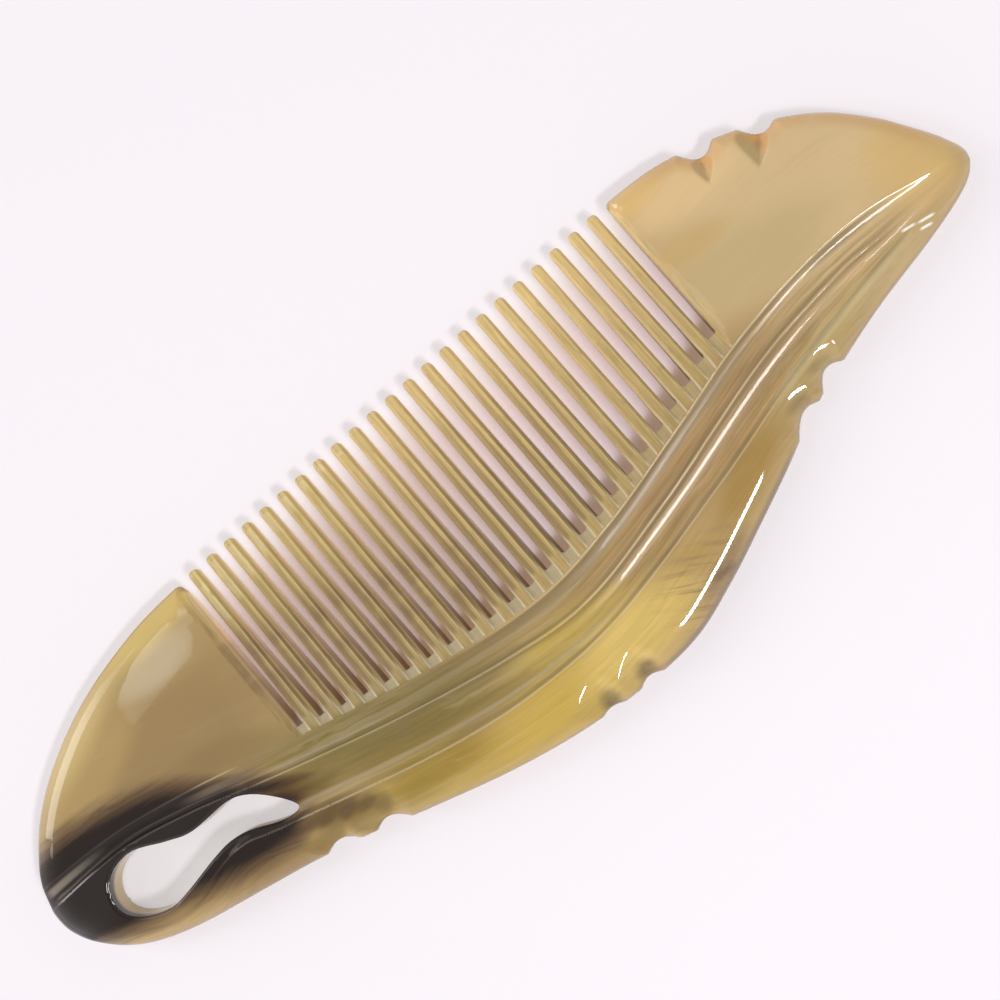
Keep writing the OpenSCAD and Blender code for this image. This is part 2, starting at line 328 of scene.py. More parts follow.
# The spine. Two long flutes are cut along it with a round-nosed tool, the upper one from the
# blunt end and the lower one from the hanging hole. Both fade out near the pointed end, and
# polishing has eased their three crests a little.
crest_b = smooth_line([  # x, y
    [-84, 1.4], [-70, 1.5], [-59, -0.9], [-46, -5.0], [-28, -10.0], [-11, -13.6], [3, -14.8],
    [20, -11.4], [42, -5.6], [57, -3.6], [66, -3.5], [80, -3],
])
crest_c = smooth_line([  # x, y
    [-84, -5.6], [-76, -7.6], [-68, -10.6], [-57, -9.2], [-49.6, -11.1], [-27, -17.1],
    [-11, -19.6], [5, -19.2], [27, -14.5], [42, -10.6], [58, -7.3], [80, -4],
])
flute_depth = 0.8
flute_shape = 0.85, 0.55
upper_fade, lower_fade = (64, 80), (60, 78)
lower_start = -62, -50
upper_loss = 0.2
crest_ease = 0.14


def hollowed(share):
    """Cross-section of a flute, 1 at its deepest line, which lies nearer its lower crest."""
    rise, fall = flute_shape
    deepest = rise / (rise + fall)
    return (share / deepest) ** rise * ((1 - share) / (1 - deepest)) ** fall


def fluted(p):
    """Depth of the two flutes at each point, averaged over the width that polishing eases."""
    total = 0
    offsets = np.linspace(-crest_ease, crest_ease, 7)
    for off in offsets:
        x, y = p[:, 0], p[:, 1] + off
        a, b, c = on(crest_a, x), on(crest_b, x), on(crest_c, x)
        upper = hollowed(np.clip((a - y) / np.maximum(a - b, 0.1), 0, 1))
        lower = hollowed(np.clip((b - y) / np.maximum(b - c, 0.1), 0, 1))
        upper_depth = flute_depth * (1 - upper_loss * smooth(0, 30, x)) * (1 - smooth(*upper_fade, x))
        lower_depth = flute_depth * smooth(*lower_start, x) * (1 - smooth(*lower_fade, x))
        total = total + upper_depth * upper + lower_depth * lower
    return total / len(offsets)


# The hanging hole. A wave-shaped hole is sawn through the blunt end, its walls left
# upright and its edges eased with fine paper.
hole_line = smooth_line([  # x, y
    [-76.0, -4.0], [-75.5, -6.0], [-73.5, -7.9], [-69.9, -9.3], [-66.5, -9.1], [-60.6, -8.0],
    [-57.2, -7.7], [-54.2, -8.3], [-50.8, -9.8], [-48.4, -10.5], [-46.6, -10.1],
    [-48.4, -7.1], [-51.2, -4.3], [-54.4, -3.1], [-60.6, -3.1], [-64.4, -1.8], [-68.7, 0.2],
    [-71.6, 0.4], [-73.9, -0.4], [-75.4, -2.0],
], closed=True)
hole_step = 0.4
hole_line = spaced(np.vstack([hole_line, hole_line[:1]]), hole_step)
hole_edge_r = 0.5


# The finished shape of both faces, and the net of points that carries it. Points follow the
# rim, the hole, the crests, the teeth and the notches, and spread out on the plain panels.
rim_width, front_rim_width = 5.0, 3.0
rim_power = 2.6
dome_height, dome_reach = 0.35, 15
thinnest = 0.12
ring_turns = 8, 15, 24, 35, 46, 54, 62, 72, 88


def tree_of(points):
    """A search tree of points of the plan."""
    tree = KDTree(len(points))
    for i, (x, y) in enumerate(points):
        tree.insert((x, y, 0), i)
    tree.balance()
    return tree


def distance(points, line):
    """Distance from each point to the line, by its nearest corner and the two stretches there."""
    tree = tree_of(line)
    nearest = np.array([tree.find((x, y, 0))[1] for x, y in points])
    found = np.full(len(points), 1e9)
    for start in (np.maximum(nearest - 1, 0), np.minimum(nearest, len(line) - 2)):
        a, ab = line[start], line[start + 1] - line[start]
        ap = points - a
        u = np.clip((ap * ab).sum(1) / np.maximum((ab * ab).sum(1), 1e-12), 0, 1)
        found = np.minimum(found, np.linalg.norm(ap - u[:, None] * ab, axis=1))
    return found


def rim_round(p):
    """Width of the rim's rounding, narrower along the front of the right panel."""
    in_front = smooth(30, 44, p[:, 0]) * smooth(-1, 9, p[:, 1])
    return mix(rim_width, front_rim_width, in_front)


def finished_half(p):
    """Half thickness of the finished comb, distance to the rim, and depth of grooves and notches."""
    to_rim = distance(p, full_rim)
    u = np.clip(to_rim / rim_round(p), 0, 1)
    toothed_half, cut = toothed(p, np.full(len(p), half_plate))
    dome = dome_height * (1 - np.clip(to_rim / dome_reach, 0, 1)) ** 2 * (1 - smooth(-46, -40, p[:, 0]))
    dome = dome * smooth(4, 9, p[:, 1])
    uncut = (toothed_half - fluted(p) - dome) * np.sqrt(1 - (1 - u) ** rim_power)
    half = scooped(p, uncut)
    scoop = uncut - half
    u = np.clip(distance(p, hole_line) / hole_edge_r, 0, 1)
    return half - hole_edge_r * (1 - np.sqrt(u * (2 - u))), to_rim, cut, scoop


def inward(line):
    """Unit vectors to the left of the way the line runs."""
    along = np.gradient(line, axis=0)
    along /= np.linalg.norm(along, axis=1)[:, None]
    return np.c_[-along[:, 1], along[:, 0]]


class Net:
    """Points of the plan, kept apart by the room that each new family asks for."""

    def __init__(self):
        self.points = []
        self.edges = []

    def add(self, family, room=0.0, joined=False):
        family = np.asarray(family, float)
        if room and self.points:
            tree = tree_of(self.points)
            family = [p for p in family if tree.find((p[0], p[1], 0))[2] > room]
        start = len(self.points)
        self.points.extend((float(x), float(y)) for x, y in family)
        if joined:
            self.edges += [(start + i, start + (i + 1) % len(family)) for i in range(len(family))]


def lattice(columns, rows):
    """Points at every crossing of the columns and rows."""
    return np.array([(x, y) for x in columns for y in rows]).reshape(-1, 2)


net = Net()
net.add(np.vstack([full_rim, comb_edge]), joined=True)
net.add(hole_line[:-1], joined=True)
rim_inward = inward(full_rim)
for ring, turn in enumerate(ring_turns):
    step = 1 if ring < 4 else 2
    rim_points = full_rim[::step]
    off = rim_round(rim_points) * (1 - math.cos(math.radians(turn)))
    ring_points = rim_points + rim_inward[::step] * off[:, None]
    apart = distance(ring_points, full_rim) > 0.95 * off
    net.add(ring_points[apart], 0.03 if ring < 1 else 0.09)
hole_out = -inward(hole_line)
for off in (0.06, 0.16, 0.3, 0.5, 0.9):
    net.add((hole_line + hole_out * off)[:-1], 0.06)

share = np.array([0.03, 0.08, 0.15, 0.25, 0.37, 0.5, 0.63, 0.75, 0.85, 0.92, 0.97])
run = np.arange(-84.5, 78, 0.5)
a, b, c = on(crest_a, run), on(crest_b, run), on(crest_c, run)
spine_rows = [a + off for off in (0.45, 0.22, 0.1, 0)] + [b]
spine_rows += [c - off for off in (0, 0.1, 0.22, 0.5)]
spine_rows += [mix(a, b, s) for s in share] + [mix(b, c, s) for s in share]
spine_points = np.vstack([np.c_[run, row] for row in spine_rows])
net.add(spine_points, 0.06)

tooth_share = np.array([0.05, 0.14, 0.3, 0.5, 0.7, 0.86, 1.0])
for k in range(teeth):
    for y in slot_rows(min(slot_y[k], slot_y[k + 1]) - 0.4):
        half_tooth = pitch / 2 - gap_half(y)
        x = slot_x[k] + pitch / 2 + np.r_[-tooth_share[:0:-1], 0, tooth_share[1:]] * half_tooth * 0.93
        net.add(np.c_[x, np.full(len(x), y)])
for k in range(teeth + 1):
    off = np.array([0.0, 0.25, 0.48, 0.64, 0.8, 1.0, 1.22, 1.45, 1.7])
    columns = slot_x[k] + np.r_[-off[:0:-1], off]
    rows = np.arange(on(crest_a, slot_x[k]) + 0.3, slot_y[k] + 0.6, 0.24)
    net.add(lattice(columns, rows), 0.12)
for side in (-1, 1):
    off = np.array([0.06, 0.16, 0.4, 0.8, 1.2, 1.6, 2.0])
    for y in slot_rows(slot_y[0 if side < 0 else -1], tip_y - 1.5):
        x = side * (slot_x[-1] + gap_half(y) + off)
        net.add(np.c_[x, np.full(len(x), y)])
for side, at_x, *_ in notches:
    spread = np.arange(-5.5, 5.51, 0.3)
    local = lattice(spread, spread)
    local = local[np.hypot(*local.T) < 5.5]
    net.add(local + [at_x, float(rim_y(side, np.array(at_x)))], 0.16)
fill = lattice(np.arange(-85, 81, 0.9), np.arange(-29, 25.5, 0.9))
fill[:, 0] += 0.45 * (np.arange(len(fill)) % 2)
net.add(fill, 0.5)

made = delaunay_2d_cdt([Vector(p) for p in net.points], net.edges, [], 1, 1e-6)
plan = np.array([tuple(v) for v in made[0]])
triangles = np.array(made[2])
rim_number = np.array([next((i for i in came if i < len(full_rim)), -1) for came in made[3]])


def within(points, loop):
    """Whether each point lies inside the closed loop."""
    a, b = loop, np.roll(loop, -1, axis=0)
    x, y = points[:, :1], points[:, 1:]
    spans = (a[:, 1] > y) != (b[:, 1] > y)
    rise = np.where(np.abs(b[:, 1] - a[:, 1]) < 1e-12, 1, b[:, 1] - a[:, 1])
    cross = a[:, 0] + (y - a[:, 1]) / rise * (b[:, 0] - a[:, 0])
    return ((x < cross) & spans).sum(1) % 2 == 1


centre = plan[triangles].mean(1)
in_hole = np.zeros(len(centre), bool)
near = (centre[:, 0] < -45) & (centre[:, 1] < 2)
in_hole[near] = within(centre[near], hole_line[:-1])
triangles = triangles[~in_hole]
u, v = plan[triangles[:, 1]] - plan[triangles[:, 0]], plan[triangles[:, 2]] - plan[triangles[:, 0]]
clockwise = u[:, 0] * v[:, 1] - u[:, 1] * v[:, 0] < 0
triangles[clockwise] = triangles[clockwise][:, ::-1]

used = np.unique(triangles)
renumber = np.full(len(plan), -1)
renumber[used] = np.arange(len(used))
plan, rim_number, triangles = plan[used], rim_number[used], renumber[triangles]
on_rim = rim_number >= 0
half, to_rim, net_groove, net_scoop = finished_half(plan)
half = np.maximum(half, thinnest)
half[on_rim] = 0

x = (plan[:, 0] - plan_middle_x) * plan_scale / mm
y = cad_high.y + (plan[:, 1] - tip_y) * plan_scale / mm
top = np.c_[x, y, (half_plate + half) / mm]
under_index = np.where(on_rim, np.arange(len(plan)), -1)
under_index[~on_rim] = len(plan) + np.arange((~on_rim).sum())
under = np.c_[x, y, (half_plate - half) / mm][~on_rim]
directed = np.vstack([triangles[:, [0, 1]], triangles[:, [1, 2]], triangles[:, [2, 0]]])
keys = {(int(i), int(j)) for i, j in directed}
open_edges = [(i, j) for i, j in keys if (j, i) not in keys]
walls = []
for i, j in sorted(open_edges):
    ui, uj = int(under_index[i]), int(under_index[j])
    quad = [i, ui, uj, j]
    quad = [n for at, n in enumerate(quad) if n != quad[at - 1]]
    if len(quad) > 2:
        walls.append(quad)
faces = triangles.tolist() + under_index[triangles][:, ::-1].tolist() + walls
mesh = bpy.data.meshes.new("horn_comb")
mesh.from_pydata(np.vstack([top, under]).tolist(), [], faces)
mesh.shade_smooth()

# The polished faces take their shading from the carved shape itself: its slope at each
# point, and straight outwards along the rim. The walls of the slots and the hole face
# sideways.
small = 0.03
slope = np.array([
    (finished_half(plan + step)[0] - finished_half(plan - step)[0]) / (2 * small)
    for step in ([small, 0], [0, small])
])
facing = np.c_[-slope[0], -slope[1], np.ones(len(plan))]
facing[on_rim] = np.c_[-rim_inward[rim_number[on_rim]], np.zeros(on_rim.sum())]
facing /= np.linalg.norm(facing, axis=1)[:, None]
facing_down = facing * [1, 1, -1]
outward = {}
for i, j in open_edges:
    edge = plan[j] - plan[i]
    edge = np.array([edge[1], -edge[0]]) / max(np.linalg.norm(edge), 1e-9)
    outward[i, j] = edge
    for n in (i, j):
        outward[n] = outward.get(n, 0) + edge
corner_facing = [facing[triangles].reshape(-1, 3), facing_down[triangles][:, ::-1].reshape(-1, 3)]
top_of = {int(under_index[n]): n for n in range(len(plan))}
for quad in walls:
    tops = [n if n < len(plan) else top_of[n] for n in quad]
    i, j = tops[0], tops[-1]
    flat = outward[i, j]
    for n in tops:
        lean = outward[n] / max(np.linalg.norm(outward[n]), 1e-9)
        corner_facing.append(np.array([[*(lean if lean @ flat > 0.75 else flat), 0]]))
mesh.normals_split_custom_set(np.vstack(corner_facing).tolist())

comb = bpy.data.objects.new("horn_comb", mesh)
bpy.context.scene.collection.objects.link(comb)


# The horn. Its colour runs through the plate: amber and khaki, olive along the spine, cream
# and tan to the right, and a near-black sweep through the blunt end. Each marking below is
# a soft patch that lies along the grain, in plan millimetres and degrees.
markings = [  # x, y, half length, half width, turn, red, green, blue, strength
    [-57, 8, 28, 15, 0, 153, 127, 86, 1.0],
    [-48, 18.5, 13, 5, -4, 168, 143, 98, 0.9],
    [-66, 12.5, 13, 4.5, 20, 174, 146, 96, 0.9],
    [-47, 23.4, 14, 3.6, 4, 200, 173, 105, 1.0],
    [-65, 18.6, 13, 4, 25, 196, 169, 114, 0.9],
    [-50, 2, 10, 3, -18, 140, 116, 76, 0.7],
    [-70, -12.4, 12, 3.5, -20, 178, 148, 98, 1.0],
    [-54, -15, 14, 2.6, -12, 146, 118, 74, 0.9],
    # The next patch is painted shade of the left notches on the back.
    [-42.5, -14.4, 8, 2.6, -22, 104, 80, 42, 0.95],
    [-43, -8.6, 5, 2.6, -24, 106, 82, 44, 0.8],
    [-29, -9.5, 27, 7.5, -17, 134, 117, 70, 1.0],
    [32, -7, 37, 7.5, 16, 168, 138, 97, 0.95],
    [62, -2.5, 18, 4, 2, 182, 151, 106, 0.8],
    [-2, -15.8, 12, 2.6, -2, 188, 161, 82, 1.0],
    [-3, -18.6, 12, 1.3, 0, 194, 172, 106, 0.8],
    [-27, -19.5, 14, 5, -17, 154, 128, 58, 1.0],
    [-22, -23.6, 14, 2.4, -12, 182, 153, 80, 0.8],
    [-9, -23.2, 15, 6, -4, 195, 164, 80, 1.0],
    [5, -22.5, 13, 6, 6, 213, 183, 106, 1.0],
    [19, -20, 7, 3, -35, 178, 148, 90, 0.8],
    [20, -23.4, 7, 1.6, 22, 150, 124, 92, 0.9],
    [31, -15.8, 11, 3, 24, 164, 132, 74, 0.95],
    [48, -10.2, 14, 2.6, 14, 180, 155, 104, 0.9],
    [62, -7.4, 10, 2, 10, 192, 166, 120, 0.9],
    [60, 10, 27, 18, -8, 208, 181, 136, 1.0],
    [50, 5.5, 16, 6.5, -6, 192, 169, 124, 0.9],
    [49, 19, 12, 4.5, -4, 222, 190, 140, 0.9],
    [45, 12.5, 8, 2.6, -8, 196, 166, 112, 0.8],
    [43, 23, 7, 3, 0, 224, 186, 120, 0.7],
    [75, 2, 9, 8, 0, 210, 177, 117, 0.8],
]
smoke_top = smooth_line([  # x, y
    [-90, 8.2], [-82, 8.3], [-76, 8.3], [-70, 7.3], [-66, 6.4], [-62, 5.2], [-58, 3.2], [-54, 0.3],
    [-50, -2.9], [-46, -5.0], [-42, -7.0], [-34, -10],
])
smoke_low = smooth_line([  # x, y
    [-90, -6], [-82, -6.6], [-78, -7.5], [-74, -8.6], [-70, -9.4], [-66, -10.3], [-60, -12.0],
    [-54, -13.2], [-48, -13.6], [-40, -13.6], [-34, -13.6],
])
smoke_tail = np.array([[-58, -1], [-54, -2.9], [-50, -4.4], [-46, -6.3], [-42, -8.1], [-36, -10]])
# Dark spots: painted shade in the hollows of the notches, and one dark smudge on the back near its rim.
shade_and_smudge_spots = [  # x, y, half width, half height, strength
    [-3.7, -27.2, 2.2, 2.3, 1.0], [2.8, -27.3, 2.4, 2.4, 1.0], [-46.6, -13.4, 3.0, 1.1, 1.0],
    [-44.2, -14.0, 3.0, 1.3, 1.15], [-41.4, -14.9, 2.9, 1.3, 1.15], [-38.6, -16.0, 2.7, 1.4, 0.95],
    [-37.4, -17.4, 1.8, 2.0, 0.5], [41.9, -13.3, 3.2, 1.4, 0.55],
    [47.4, -11.1, 2.8, 1.1, 0.5], [19.4, -23.9, 2.8, 0.9, 1.0],
]
sheen_share, light_share, darkest = 0.012, 0.92, 0.004


def seen(red, green, blue):
    """The horn's own colour, from the colour that it shows in this light, under its sheen."""
    linear = [((part / 255 + 0.055) / 1.055) ** 2.4 for part in (red, green, blue)]
    return np.array([max((part - sheen_share) / light_share, darkest) for part in linear])


def marked(p):
    """Colour of the horn at each point: the row of teeth has its own, paler towards the tips."""
    x, y = p.T
    down_row = np.clip((y - on(crest_a, x)) / (tip_y - on(crest_a, x)), 0, 1)[:, None]
    to_right = smooth(-34, 0, x)[:, None]
    roots_seen = mix(seen(160, 141, 100), seen(172, 147, 97), to_right)
    middle_seen = mix(seen(166, 142, 96), seen(192, 164, 111), to_right)
    tips_seen = mix(seen(206, 182, 118), seen(217, 188, 128), to_right)
    row = np.where(down_row < 0.5, mix(roots_seen, middle_seen, down_row * 2),
                   mix(middle_seen, tips_seen, down_row * 2 - 1))
    in_row = smooth(0, 1.2, y - on(crest_a, x)) * (np.abs(x) < 40.2)
    tint = np.tile(seen(178, 150, 100), (len(p), 1))
    for at_x, at_y, length, width, turn, red, green, blue, strength in markings:
        turn = math.radians(turn)
        off = p - [at_x, at_y]
        along = off @ [math.cos(turn), math.sin(turn)] / length
        across = off @ [-math.sin(turn), math.cos(turn)] / width
        weight = strength * (1 - smooth(0.35, 1.15, np.hypot(along, across)))
        tint = mix(tint, seen(red, green, blue), weight[:, None])
    return mix(tint, row, in_row[:, None])


# What the material reads at each point of the net: how far it lies across the spine, from
# 0 at the lowest crest to 2 at the highest, how deep in the smoke, and the like.
at_x, at_y = plan.T
crest_y = [on(crest, at_x) for crest in (crest_a, crest_b, crest_c)]
off_a, off_b, off_c = (at_y - crest for crest in crest_y)
net_across = np.where(off_b > 0, 1 + off_b / np.maximum(crest_y[0] - crest_y[1], 0.1),
                      off_c / np.maximum(crest_y[1] - crest_y[2], 0.1))
net_across = np.where(off_a > 0, 2 + off_a / 4, np.where(off_c < 0, off_c / 4, net_across))
net_crest_gap = np.minimum(np.abs(off_a), np.minimum(np.abs(off_b), np.abs(off_c)))
low_fade = mix(smooth(-50, -42, at_x), smooth(-52, -45.5, at_x), smooth(-11.4, -10.6, at_y))
fade = mix(low_fade, smooth(-54, -41, at_x), smooth(-10.2, -9, at_y))
net_smoke = np.minimum(on(smoke_top, at_x) - at_y, at_y - on(smoke_low, at_x))
net_smoke = np.minimum(net_smoke, 4) - 4.5 * fade
tail = 2.2 - 1.6 * np.abs(at_y - on(smoke_tail, at_x)) - 7 * smooth(-50, -34, at_x)
net_smoke = np.where(at_x > -56, np.maximum(net_smoke, tail), net_smoke)
net_shade_and_smudge = np.zeros(len(plan))
for spot_x, spot_y, width, height, strength in shade_and_smudge_spots:
    away = np.hypot((at_x - spot_x) / width, (at_y - spot_y) / height)
    net_shade_and_smudge = np.maximum(net_shade_and_smudge, strength * (1 - smooth(0.25, 1, away)))
fields = {
    "rim_gap": to_rim, "groove": net_groove, "scoop": net_scoop, "across": net_across,
    "crest_gap": net_crest_gap, "smoke": net_smoke, "shade_and_smudge": net_shade_and_smudge,
    "flute": fluted(plan) / flute_depth, "above_root": at_y - np.interp(at_x, slot_x, slot_y),
}
for name, values in fields.items():
    layer = mesh.attributes.new(name, "FLOAT", "POINT")
    layer.data.foreach_set("value", np.r_[values, values[~on_rim]].astype(np.float32))
tint = marked(plan)
layer = mesh.attributes.new("tint", "FLOAT_COLOR", "POINT")
colours = np.vstack([tint, tint[~on_rim]])
layer.data.foreach_set("color", np.c_[colours, np.ones(len(colours))].astype(np.float32).ravel())


class Reading:
    """A socket among a material's nodes, so that shader maths reads as plain expressions."""

    def __init__(self, tree, socket):
        self.tree = tree
        self.socket = socket

    def node(self, kind, settings, inputs, out=0):
        """Any node: its settings are set first, then the values or links of its sockets."""
        made = self.tree.nodes.new(kind)
        for name, value in settings.items():
            setattr(made, name, value)
        for name, value in inputs.items():
            if isinstance(value, Reading):
                self.tree.links.new(value.socket, made.inputs[name])
            else:
                made.inputs[name].default_value = value
        return Reading(self.tree, made.outputs[out])

    def maths(self, operation, first, second=0.0, clamp=False):
        settings = {"operation": operation, "use_clamp": clamp}
        return self.node("ShaderNodeMath", settings, {0: first, 1: second})

    def __add__(self, other):
        return self.maths("ADD", self, other)

    def __sub__(self, other):
        return self.maths("SUBTRACT", self, other)

    def __rsub__(self, other):
        return self.maths("SUBTRACT", other, self)

    def __mul__(self, other):
        return self.maths("MULTIPLY", self, other)

    def __truediv__(self, other):
        return self.maths("DIVIDE", self, other)

    def __abs__(self):
        return self.maths("ABSOLUTE", self)

    __radd__, __rmul__ = __add__, __mul__

    def most(self, other):
        return self.maths("MAXIMUM", self, other)

    def least(self, other):
        return self.maths("MINIMUM", self, other)

    def between(self, low, high):
        """0 below low, 1 above high, with a smooth way between them."""
        return self.node("ShaderNodeMapRange", {"interpolation_type": "SMOOTHSTEP"},
                         {"Value": self, "From Min": low, "From Max": high})

    def blended(self, colour, amount, blend="MIX"):
        """This colour with another one laid over it, by an amount from 0 to 1."""
        if not isinstance(colour, Reading):
            colour = (*colour, 1)
        return self.node("ShaderNodeMix", {"data_type": "RGBA", "blend_type": blend},
                         {0: amount, 6: self, 7: colour}, out=2)


horn = bpy.data.materials.new("horn")
horn.use_nodes = True
skin = horn.node_tree.nodes["Principled BSDF"]
horn_tree = Reading(horn.node_tree, None)


def field(name, out=2):
    return horn_tree.node("ShaderNodeAttribute", {"attribute_name": name}, {}, out)


def place(x, y, z=0.0):
    return horn_tree.node("ShaderNodeCombineXYZ", {}, {0: x, 1: y, 2: z})


def noise(at, detail=2.0, roughness=0.5, twist=0.0):
    """Soft noise with features about as long as one unit of the place given."""
    return horn_tree.node("ShaderNodeTexNoise", {}, {
        "Vector": at, "Scale": 1.0, "Detail": detail, "Roughness": roughness, "Distortion": twist})


def line_at(value, centre, reach):
    """1 where the value is at the centre, falling to 0 at the reach to either side."""
    return abs(value - centre).between(reach, reach * 0.25)


at_object = horn_tree.node("ShaderNodeTexCoord", {}, {}, out=3)
plan_x, plan_y, plan_z = (horn_tree.node("ShaderNodeSeparateXYZ", {}, {0: at_object}, out=n)
                          * (mm / plan_scale) for n in range(3))
plan_x = plan_x + plan_middle_x
plan_y = plan_y + (tip_y - cad_high.y * mm / plan_scale)
rim_gap, groove, scoop, across = field("rim_gap"), field("groove"), field("scoop"), field("across")
smoke, flute, crest_gap = field("smoke"), field("flute"), field("crest_gap")
above_root, shade_and_smudge = field("above_root"), field("shade_and_smudge")
on_row = abs(plan_x).between(39.7, 39.3) * across.between(2.0, 2.1)
panel_edge = abs(plan_x).between(41.2, 40.7) * across.between(2.15, 2.4)
on_teeth = on_row.most(panel_edge)
on_left_panel = plan_x.between(-38, -42) * plan_y.between(6, 12)
on_spine = across.between(-0.1, 0.05) * across.between(2.06, 1.98) * plan_x.between(72, 60)
below_spine = across.between(0.0, -0.15)

# The grain. Cloudy bands follow the crests, with finer streaks and hairs between them. They
# show most in the spine, where the flutes are cut through them, and least on the panels.
grain_shown = 0.16 + on_spine * 0.84 + below_spine * 0.4
clouds = noise(place(plan_x / 9, plan_y / 6, plan_z / 5), 2, 0.55, 0.4)
bands = noise(place(plan_x / 22 + clouds, across * 2.6 + clouds * 1.6, plan_z / 9), 2, 0.6)
streaks = noise(place(plan_x / 11, across * 11 + bands * 3, plan_z / 4), 2, 0.6)
hairs = noise(place(plan_x / 6, across * 42), 1, 0.6)
brown_band, pale_band = (0.25, 0.19, 0.08), (0.62, 0.49, 0.28)
colour = field("tint", 0)
colour = colour.blended(brown_band, bands.between(0.5, 0.8) * grain_shown * 0.4)
colour = colour.blended(pale_band, bands.between(0.5, 0.24) * grain_shown * 0.3)
shade = 1 + (streaks - 0.5) * grain_shown * 0.5 + (hairs - 0.5) * grain_shown * 0.26
shade = shade + (clouds - 0.5) * 0.09 - on_spine * 0.07
colour = colour.blended(place(shade, shade, shade), 1.0, "MULTIPLY")

# The flutes. A painted grey sheen lies in them at the left. From the middle to the right
# painted shade darkens the horn beside the crests, most of all just below the upper one.
painted_grey_sheen, umber, dark_umber = (0.44, 0.36, 0.22), (0.19, 0.135, 0.06), (0.17, 0.12, 0.055)
sheen_at = horn_tree.node("ShaderNodeMapRange", {}, {"Value": plan_x, 1: -42, 2: -4, 3: 1.26, 4: 1.62})
# A painted reflection: the grey sheen of the flutes at the left.
painted_sheen = line_at(across, sheen_at, 0.2) * plan_x.between(8, -4) * plan_x.between(-52, -44) * 0.35
low_painted_sheen = line_at(across, 0.27, 0.07) * plan_x.between(10, 0) * plan_x.between(-56, -44)
colour = colour.blended(painted_grey_sheen, painted_sheen.most(low_painted_sheen * 0.55))
# Painted shade beside the crests and just below the upper one.
shade_beside_crest = crest_gap.between(0.16, 0.3) * crest_gap.between(0.95, 0.4) * on_spine
colour = colour.blended(dark_umber, shade_beside_crest * plan_x.between(-36, -6) * 0.5)
shade_under_crest = line_at(across, 1.76, 0.22) * plan_x.between(-28, -10)
shade_under_crest = shade_under_crest * (1 - plan_x.between(34, 44) * plan_x.between(58, 52) * 0.9)
colour = colour.blended(umber, shade_under_crest * on_spine * 0.6)

# The teeth and their gaps. The saw leaves fine marks along the teeth, and a brown smudge
# slants down the left half. Each tooth has a painted highlight along its left edge, a yellow line
# near its right edge and painted shade on its right bevel, and each gap runs out in a grey
# trough with pale sides.
smudge_brown, bevel_shade = (0.24, 0.145, 0.08), (0.20, 0.125, 0.055)
left_edge_highlight, right_edge = (0.76, 0.63, 0.38), (0.72, 0.57, 0.25)
trough_grey, trough_edge = (0.46, 0.40, 0.275), (0.72, 0.65, 0.45)
saw_marks = noise(place(plan_x / 0.36, plan_y / 6), 2, 0.6)
smudge = noise(place(plan_x / 12 + 3.3, plan_y / 3.5), 2, 0.5)
smudge_line = abs(plan_y - (plan_x * -0.3 - 2.5)) / 6.5
smudge = (1 - smudge_line.between(0.3, 1.2)) * smudge.between(0.35, 0.6) * plan_x.between(2, -10)
colour = colour.blended(smudge_brown, smudge * on_teeth * 0.72)
shade = 1 + (saw_marks - 0.5) * on_teeth * 0.85
shade = shade + (streaks - 0.5) * on_spine * plan_x.between(-8, 14) * 0.5
colour = colour.blended(place(shade, shade, shade), 1.0, "MULTIPLY")
slot_number = horn_tree.maths("FRACT", plan_x / pitch + (teeth / 2 + 0.5))
aside = (slot_number - 0.5) * pitch
gap = root_gap / 2 + plan_y.between(-10, 20) * ((tip_gap - root_gap) / 2)
out_right, out_left = aside - gap, 0 - aside - gap
in_teeth = on_row * above_root.between(0.3, 1.4)
# A painted highlight along each tooth's left edge, and a yellow line near its right edge.
colour = colour.blended(left_edge_highlight, line_at(out_right, 0.1, 0.2) * in_teeth * 0.5)
colour = colour.blended(right_edge, line_at(out_left, 0.5, 0.17) * in_teeth * 0.45)
# Painted shade on each tooth's right bevel.
bevel_shade_part = out_left.between(0.46, 0.3) * in_teeth * plan_x.between(26, 10)
colour = colour.blended(bevel_shade, bevel_shade_part * (0.6 - plan_y.between(4, 22) * 0.45))
trough = above_root.between(0.25, -0.05) * across.between(2.0, 2.08) * abs(aside).between(1.1, 0.85)
trough = trough * (1 - plan_x.between(4, 20) * 0.55)
colour = colour.blended(trough_grey, trough * on_row * 0.6)
trough_line = line_at(abs(aside), 0.92, 0.2) * above_root.between(3.0, 0.5) * across.between(2.0, 2.08)
colour = colour.blended(trough_edge, trough_line * on_row * 0.45)

# The rim and the notches. The thin rim is painted honey at the upper left and orange at the
# upper right as painted light coming through it, and painted shade darkens it along the back
# and at its very edge. The front notches have painted light on one flank and painted shade on
# the other and in their valleys, the left ones on the back are olive brown, and painted shade
# lies in the notch hollows, with one dark smudge on the back.
honey, orange = (0.62, 0.46, 0.16), (0.66, 0.37, 0.13)
lit_flank, dim_flank, valley_shade = (0.64, 0.33, 0.08), (0.42, 0.28, 0.10), (0.28, 0.17, 0.08)
olive_brown, rim_shade_brown, shade_and_smudge_brown = (0.25, 0.18, 0.06), (0.15, 0.105, 0.075), (0.12, 0.075, 0.03)
# Painted light through the thin rim: honey at the upper left, orange at the upper right.
honey_part = rim_gap.between(6.5, 1.0) * plan_x.between(-38, -44) * plan_y.between(8, 15)
colour = colour.blended(honey, honey_part * 0.35)
orange_part = rim_gap.between(3.0, 0.5) * plan_x.between(42, 50) * plan_y.between(-2, 4)
colour = colour.blended(orange, orange_part * clouds.between(0.2, 0.5) * 0.75)
